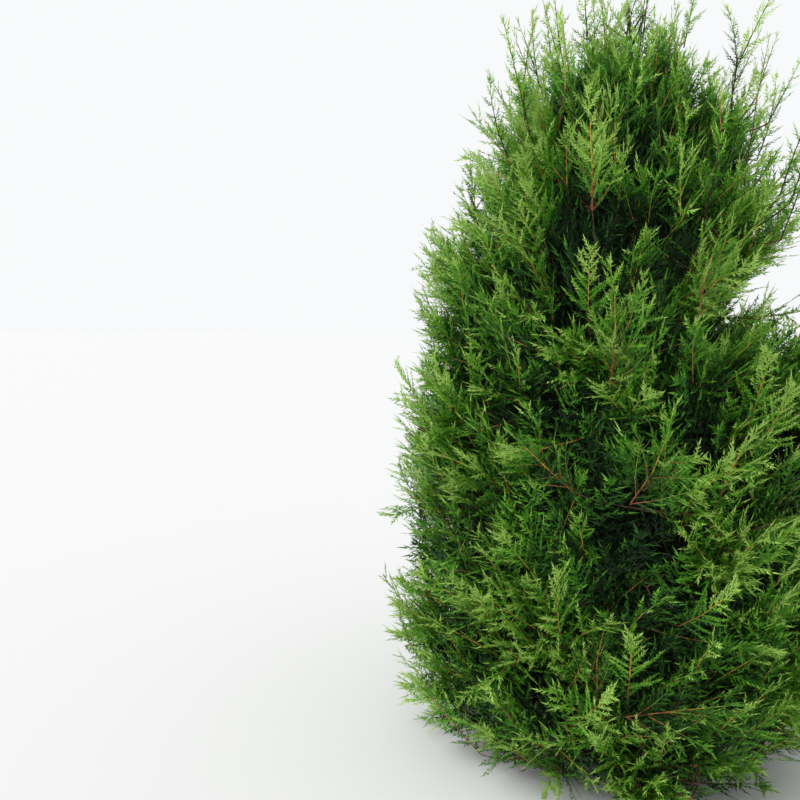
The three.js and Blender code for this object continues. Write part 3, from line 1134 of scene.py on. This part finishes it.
# Needles of one kind of plume, with the mass and the shade of each
def leavesOf(kind, plumes):
    patterns = [makePattern(kind, kind["seed"] + number) for number in range(kind["patterns"])]
    chosen = np.floor(chance(plumes["key"], 29) * len(patterns)).astype(int)
    needles, masses, shades = [], [], []
    for number, (pattern, partOf, middles) in enumerate(patterns):
        alike = keepPlumes(plumes, chosen == number)
        light = tuftLight(alike["root"] + alike["heading"] * alike["length"][:, None] / 2)
        shade = shadesOf(kind, placed(middles, alike), middles[:, 0], light, alike["key"])
        needles.append(placed(pattern.reshape(-1, 3), alike).reshape(-1, 3, 3))
        shades.append(shade[:, partOf].ravel())
        masses.append(np.repeat(alike["mass"], len(pattern)))
    return np.concatenate(needles), np.concatenate(masses), np.concatenate(shades)


# Which needles stay close to the solids' box and above its foot
def insideBox(needles):
    low, high = np.array(cadBox)
    past = (high - low) * foliage["past"]
    inside = (needles > low - past) & (needles < high + past)
    return inside.all((1, 2)) & (needles[..., 2].min(1) > lowest["needles"])


# Meshes from arrays of corners and faces
def meshFrom(name, corners, faces, materials, finishOf):
    mesh = bpy.data.meshes.new(name)
    mesh.vertices.add(len(corners))
    mesh.vertices.foreach_set("co", corners.astype(np.float32).ravel())
    widths = np.concatenate([np.full(len(group), group.shape[1]) for group in faces])
    loops = np.concatenate([group.ravel() for group in faces])
    mesh.loops.add(len(loops))
    mesh.loops.foreach_set("vertex_index", loops.astype(np.int32))
    mesh.polygons.add(len(widths))
    starts = np.concatenate([[0], np.cumsum(widths)[:-1]])
    mesh.polygons.foreach_set("loop_start", starts.astype(np.int32))
    mesh.polygons.foreach_set("material_index", finishOf.astype(np.int32))
    for material in materials:
        mesh.materials.append(material)
    mesh.update(calc_edges=True)
    piece = bpy.data.objects.new(name, mesh)
    bpy.context.scene.collection.objects.link(piece)
    return piece


# One piece of leaves for each mass
def makeLeaves(groups):
    needles, masses, shades = (np.concatenate(parts) for parts in zip(*groups))
    inside = insideBox(needles)
    for mass in range(massCount):
        which = inside & (masses == mass)
        corners = needles[which].reshape(-1, 3)
        faces = np.arange(len(corners)).reshape(-1, 3)
        label = "leader" if isLeader[mass] else f"{mass + 1:02d}"
        piece = meshFrom("leaves_" + label, corners, [faces], leafFinishes, shades[which])
        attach(piece, "root")
        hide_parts("foliage_" + label)
    print("leaves:", inside.sum(), "triangles")


twigLook = {
    "fineness": 90.0,
    "stops": (0.38, 0.62),  # of its dark and its light colour
    "roughness": 0.95,
    "smoother": 0.3,  # where it is light
    "bump": 0.001,
    "bumpStrength": 0.3,
}


# Thin twigs, mottled where scales and bark peel
def twigFinish(name, *colours):
    finish = Finish(name)
    place = finish.node("TexCoord", {}, output="Object")
    mottle = finish.node("TexNoise", {"Vector": place, "Scale": twigLook["fineness"], "Detail": 3.0})
    colour = finish.node("ValToRGB", {"Fac": mottle}, stops=list(zip(twigLook["stops"], colours)))
    return woodSurface(finish, colour, mottle, twigLook)


# Stems, twigs and the axes of plumes are tubes of few sides
tubes = {
    "finishes": [  # from the oldest wood to the youngest; the first is darkened further as painted shade for twigs inside the crown
        twigFinish("twigBrown", tint(46, 32, 22), tint(88, 56, 34)),
        twigFinish("twigRusty", tint(122, 72, 40), tint(176, 114, 62)),
        twigFinish("shootOrange", tint(172, 112, 50), tint(206, 156, 76)),
        twigFinish("shootGreen", tint(92, 118, 34), tint(140, 160, 62)),
    ],
    "stemSides": 8,
    "stemRings": 9,
    "stemOverlap": (0.01, 0.02),  # of the limb, back into the bough and on past the last twig
    "twigSides": 5,
    "twigRings": 6,
    "fineSides": 3,
    "forkPlaces": (0.1, 1, 12),  # along a main twig: first, last and how many
    "forkBehind": 0.07,  # the plume's root
    "forkKnee": 0.28,
    "forkRings": (0, 0.4, 0.75, 1),
    "forkRadii": (0.0022, 0.0021, 0.002, 0.0019),
    "axisRings": (0, 0.35, 0.7, 0.97),
    "axisRadii": (0.0026, 0.0021, 0.0014, 0.0006),
    "fullLength": 0.3,  # shorter plumes have thinner axes
    "thinnest": 0.3,
    "steepFrom": 0.9,  # rise above which a ring is laid out from +X, not from the upright
}


# Tubes along rows of points, closed at both ends, with a finish for each stretch between two rings
def makeTubes(points, radii, sides, finishOf):
    count, rings = radii.shape
    heading = unit(np.gradient(points, axis=1))
    steep = np.abs(heading[:, :1, 2:]) > tubes["steepFrom"]
    across = unit(np.cross(heading, np.where(steep, [1.0, 0, 0], up)))
    second = np.cross(heading, across)
    angle = 2 * math.pi * np.arange(sides) / sides
    ring = across[:, :, None] * np.cos(angle)[:, None] + second[:, :, None] * np.sin(angle)[:, None]
    corners = points[:, :, None] + ring * radii[:, :, None, None]
    number = np.arange(count * rings * sides).reshape(count, rings, sides)
    lower, upper = number[:, :-1], number[:, 1:]
    walls = np.stack([lower, np.roll(lower, -1, 2), np.roll(upper, -1, 2), upper], -1)
    caps = np.concatenate([number[:, 0, ::-1], number[:, -1]])
    finishes = np.concatenate([np.repeat(finishOf, sides, 1).ravel(), finishOf[:, 0], finishOf[:, -1]])
    return corners.reshape(-1, 3), [walls.reshape(-1, 4), caps], finishes


# Tubes of the oldest wood all along, whose dark brown is partly painted shade
def brownTubes(points, radii, sides):
    count, rings = points.shape[:2]
    return makeTubes(points, np.broadcast_to(radii, (count, rings)), sides, np.zeros((count, rings - 1), int))


# The stem of each mass goes on from its bough
def stemTubes():
    rings = tubes["stemRings"]
    back, on = tubes["stemOverlap"]
    shares = np.linspace(bareShare - back, mainTwigs["stemShare"] + on, rings, axis=1)
    points = alongCurve(limbLines[:, None], np.clip(shares, 0, 1))
    root = np.where(isLeader, trunk["tipRadius"], boughs["tipRadius"])
    radii = mix(root[:, None], mainTwigs["rootRadius"], np.linspace(0, 1, rings))
    return brownTubes(points, radii, tubes["stemSides"])


def mainTwigTubes(twigs):
    shares = np.linspace(0, 1, tubes["twigRings"])
    radii = mix(mainTwigs["rootRadius"], mainTwigs["tipRadius"], shares)
    return brownTubes(alongCurve(twigs["curve"][:, None], shares), radii, tubes["twigSides"])


# Fine twigs leave the nearest main twig and swing round into their plume's heading
def forkTubes(plumes, twigs):
    places = alongCurve(twigs["curve"][:, None], np.linspace(*tubes["forkPlaces"])).reshape(-1, 3)
    behind = plumes["root"] - plumes["heading"] * tubes["forkBehind"]
    forks = np.array([places[((places - point) ** 2).sum(1).argmin()] for point in behind])
    back = np.linalg.norm(plumes["root"] - forks, axis=1) * tubes["forkKnee"]
    knee = plumes["root"] - (plumes["heading"] + outwardAt(plumes["root"])) * back[:, None]
    knee[:, 2] = np.maximum(knee[:, 2], lowest["knees"])
    points = alongCurve(np.stack([forks, knee, plumes["root"]], 1)[:, None], tubes["forkRings"])
    return brownTubes(points, np.array(tubes["forkRadii"]), tubes["fineSides"])


# The axis of a plume follows its bend
def axisTubes(kind, plumes, finishes):
    shares = np.array(tubes["axisRings"])
    points = placed(np.stack([shares, shares * 0, kind["bend"] * shares**2], 1), plumes)
    thinner = np.clip(plumes["length"] / tubes["fullLength"], tubes["thinnest"], 1)
    radii = thinner[:, None] * tubes["axisRadii"]
    clear = points[..., 2].min(1) > lowest["axes"]
    finishOf = np.broadcast_to(np.array(finishes), (clear.sum(), len(finishes)))
    return makeTubes(points[clear], radii[clear], tubes["fineSides"], finishOf)


# One piece of several lots of tubes
def tubePiece(name, lots):
    corners, faces, finishes, start = [], [], [], 0
    for points, groups, finishOf in lots:
        corners.append(points)
        faces += [group + start for group in groups]
        finishes.append(finishOf)
        start += len(points)
    piece = meshFrom(name, np.concatenate(corners), faces, tubes["finishes"], np.concatenate(finishes))
    piece.data.shade_smooth()
    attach(piece, "root")
    return piece


def joined(*groups):
    return {name: np.concatenate([group[name] for group in groups]) for name in groups[0]}


twigs = growMainTwigs()
fresh = joined(growTwigPlumes(twigs), growEvenPlumes())
foremost, isSide = growForemost()
foremostMain, foremostSides = keepPlumes(foremost, ~isSide), keepPlumes(foremost, isSide)
inner = growInnerPlumes()
tall = growWisps(twigs)
print("plumes:", len(fresh["mass"]), "fresh,", len(inner["mass"]), "inner and", len(tall["mass"]), "wisps")

makeLeaves([
    leavesOf(freshPlumes, fresh),
    leavesOf(foremostPlumes, foremost),
    leavesOf(innerPlumes, inner),
    leavesOf(wisps, tall),
])
forkLots = [forkTubes(plumes, twigs) for plumes in (fresh, foremostMain, inner)]
twigPiece = tubePiece("twigs", [stemTubes(), mainTwigTubes(twigs), *forkLots])
axisLots = [
    axisTubes(freshPlumes, fresh, freshPlumes["axis"]),
    axisTubes(foremostPlumes, foremostMain, foremostPlumes["axis"]),
    axisTubes(foremostPlumes, foremostSides, foremostPlumes["sideAxis"]),
    axisTubes(wisps, tall, wisps["axis"]),
]
shootPiece = tubePiece("shoots", axisLots)
print("twigs and shoots:", len(twigPiece.data.polygons), "and", len(shootPiece.data.polygons), "faces")

# Floor, light and camera
studio = {
    "floor": (0.62, 0.62, 0.615, 1),
    "floorSize": 80,
    "floorRoughness": 0.9,
    "floorDrop": 0.001,
    "world": (0.98, 0.99, 1.0, 1),
    "worldStrength": 0.96,
    "sunStrength": 2.4,
    "sunSoftness": 40,
    "sunFromUpright": 42,
    "sunTurn": -60,
    "eye": (0, -3.23, 1.6),
    "lookDown": 6.45,
    "lookLeft": 14.4,
    "lens": 38.6,  # millimetres, as the sensor's width is
    "sensor": 36,
}
bpy.ops.mesh.primitive_plane_add(size=studio["floorSize"], location=(0, 0, -studio["floorDrop"]))
floor = bpy.context.object
floor.name = "floor"
paleFloor = Finish("paleFloor").surface(Base_Color=studio["floor"], Roughness=studio["floorRoughness"])
floor.data.materials.append(paleFloor)

world = bpy.data.worlds.new("studio")
bpy.context.scene.world = world
world.use_nodes = True
background = world.node_tree.nodes["Background"].inputs
background["Color"].default_value = studio["world"]
background["Strength"].default_value = studio["worldStrength"]

bpy.ops.object.light_add(type="SUN")
sun = bpy.context.object
sun.data.energy = studio["sunStrength"]
sun.data.angle = math.radians(studio["sunSoftness"])
sun.rotation_euler = (math.radians(studio["sunFromUpright"]), 0, math.radians(studio["sunTurn"]))

bpy.ops.object.camera_add(location=studio["eye"])
camera = bpy.context.object
camera.rotation_euler = (math.radians(90 - studio["lookDown"]), 0, math.radians(studio["lookLeft"]))
camera.data.lens = studio["lens"]
camera.data.sensor_width = studio["sensor"]
bpy.context.scene.camera = camera
bpy.context.scene.view_settings.view_transform = "Standard"
print("studio ready")
